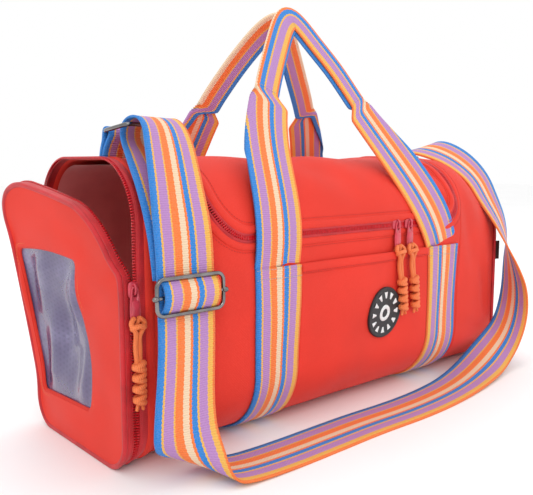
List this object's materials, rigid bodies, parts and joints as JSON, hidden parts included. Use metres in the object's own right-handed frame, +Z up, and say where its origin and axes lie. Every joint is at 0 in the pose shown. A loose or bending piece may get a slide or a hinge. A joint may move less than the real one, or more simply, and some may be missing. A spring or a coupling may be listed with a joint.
{
  "type": "sports duffel bag",
  "caption": "Soft zipped duffel bag with an unzipped windowed end flap, a zipped lid, striped webbing carry handles and a long striped shoulder strap lying in front.",
  "frame": {"origin": "on the floor under the middle of the body, between the two webbing bands it rests on", "axes": "+X along the bag from the opening end to the far end, +Z up, -Y towards the front with the pocket"},
  "size_m": [0.5656, 0.2476, 0.3845],
  "materials": {
    "body_fabric": "matte",
    "lining": "matte",
    "zip_red": "satin",
    "zip_teeth": "gloss",
    "zip_metal": "gloss",
    "pull_cord": "matte",
    "webbing": "matte",
    "window_film": "gloss",
    "badge_rubber": "matte",
    "badge_mark": "matte",
    "tag_fabric": "matte",
    "dark_steel": "gloss"
  },
  "bodies": {
    "bag": {"main_wrap": "body_fabric", "far_end_panel": "body_fabric", "shoe_lining": "lining", "divider_panel": "lining", "main_lining": "lining", "front_pocket": "body_fabric", "badge": "badge_rubber", "badge_pattern": "badge_mark", "side_tag": "tag_fabric", "near_girth_strap": "webbing", "far_girth_strap": "webbing", "end_panel": "body_fabric", "end_window": "window_film", "end_piping": "zip_red", "end_zip_tape": "zip_red", "end_zip_teeth": "zip_teeth", "body_end_zip_teeth": "zip_teeth", "body_end_zip_tape": "zip_red", "body_lid_zip_teeth": "zip_teeth", "body_lid_zip_tape": "zip_red", "near_ring_tab": "webbing", "far_ring_tab": "webbing", "shoulder_strap": "webbing"},
    "end_flap": {"flap_panel": "body_fabric", "flap_window": "window_film", "flap_piping": "zip_red", "flap_zip_tape": "zip_red", "flap_zip_teeth": "zip_teeth"},
    "lid": {"lid_panel": "body_fabric", "lid_zip_tape": "zip_red", "lid_zip_teeth": "zip_teeth"},
    "front_handle": {"front_handle_leg_left": "webbing", "front_handle_leg_right": "webbing", "front_handle_grip": "webbing"},
    "rear_handle": {"rear_handle_leg_left": "webbing", "rear_handle_leg_right": "webbing", "rear_handle_grip": "webbing"},
    "near_ring": {"near_ring": "dark_steel"},
    "far_ring": {"far_ring": "dark_steel"},
    "adjuster": {"adjuster_frame": "dark_steel", "adjuster_bar": "dark_steel", "strap_end_wrap": "webbing"},
    "near_lid_slider": {"near_lid_slider": "zip_metal"},
    "near_lid_tab": {"near_lid_tab": "zip_metal"},
    "near_lid_pull": {"near_lid_cord_pull": "pull_cord"},
    "far_lid_slider": {"far_lid_slider": "zip_metal"},
    "far_lid_tab": {"far_lid_tab": "zip_metal"},
    "far_lid_pull": {"far_lid_cord_pull": "pull_cord"},
    "end_zip_slider": {"end_zip_slider": "zip_metal"},
    "end_zip_tab": {"end_zip_tab": "zip_metal"},
    "end_zip_pull": {"end_zip_cord_pull": "pull_cord"}
  },
  "joints": [
    {"name": "end_flap_hinge", "type": "hinge", "parent": "bag", "child": "end_flap", "pos_m": [-0.256, -0.076, 0.151], "axis": [0, 0.7779, -0.6284], "range_deg": [-42, 9.5]},
    {"name": "lid_hinge", "type": "hinge", "parent": "bag", "child": "lid", "pos_m": [-0.018, 0.091, 0.178], "axis": [-1, 0, 0], "range_deg": [0, 70]},
    {"name": "front_handle_swing", "type": "hinge", "parent": "bag", "child": "front_handle", "pos_m": [0, -0.0932, 0.1484], "axis": [1, 0, 0], "range_deg": [0, 126]},
    {"name": "rear_handle_swing", "type": "hinge", "parent": "bag", "child": "rear_handle", "pos_m": [0, 0.0932, 0.1484], "axis": [-1, 0, 0], "range_deg": [0, 126]},
    {"name": "near_lid_slide", "type": "slide", "parent": "bag", "child": "near_lid_slider", "axis": [1, 0, 0], "range_m": [-0.11, 0]},
    {"name": "far_lid_slide", "type": "slide", "parent": "bag", "child": "far_lid_slider", "axis": [1, 0, 0], "range_m": [0, 0.004]},
    {"name": "end_zip_slide", "type": "slide", "parent": "bag", "child": "end_zip_slider", "axis": [0, 0, 1], "range_m": [-0.08, 0]},
    {"name": "near_lid_tab_hinge", "type": "hinge", "parent": "near_lid_slider", "child": "near_lid_tab", "pos_m": [0.039, -0.09515, 0.1763], "axis": [1, 0, 0], "range_deg": [-60, 0]},
    {"name": "near_lid_pull_hinge", "type": "hinge", "parent": "near_lid_tab", "child": "near_lid_pull", "pos_m": [0.039, -0.09515, 0.1515], "axis": [1, 0, 0], "range_deg": [-50, 0]},
    {"name": "far_lid_tab_hinge", "type": "hinge", "parent": "far_lid_slider", "child": "far_lid_tab", "pos_m": [0.058, -0.09515, 0.1763], "axis": [1, 0, 0], "range_deg": [-60, 0]},
    {"name": "far_lid_pull_hinge", "type": "hinge", "parent": "far_lid_tab", "child": "far_lid_pull", "pos_m": [0.058, -0.09515, 0.1515], "axis": [1, 0, 0], "range_deg": [-50, 0]},
    {"name": "end_zip_tab_hinge", "type": "hinge", "parent": "end_zip_slider", "child": "end_zip_tab", "pos_m": [-0.2455, -0.08015, 0.1443], "axis": [1, 0, 0], "range_deg": [-8, 0]},
    {"name": "end_zip_pull_hinge", "type": "hinge", "parent": "end_zip_tab", "child": "end_zip_pull", "pos_m": [-0.2455, -0.08015, 0.1195], "axis": [1, 0, 0], "range_deg": [-10, 0]},
    {"name": "near_ring_tilt", "type": "hinge", "parent": "bag", "child": "near_ring", "pos_m": [-0.21563, -0.02307, 0.2584], "axis": [0.936, 0.352, 0], "range_deg": [-4, 4]},
    {"name": "far_ring_tilt", "type": "hinge", "parent": "bag", "child": "far_ring", "pos_m": [0.208, 0.0542, 0.23375], "axis": [1, 0, 0], "range_deg": [-4, 4]},
    {"name": "adjuster_slide", "type": "slide", "parent": "bag", "child": "adjuster", "axis": [0, 0, 1], "range_m": [-0.01, 0.01]}
  ],
  "couplings": [
    {"joint": "front_handle_swing", "follows": "lid_hinge", "ratio": 1.8},
    {"joint": "rear_handle_swing", "follows": "lid_hinge", "ratio": 1.8}
  ]
}
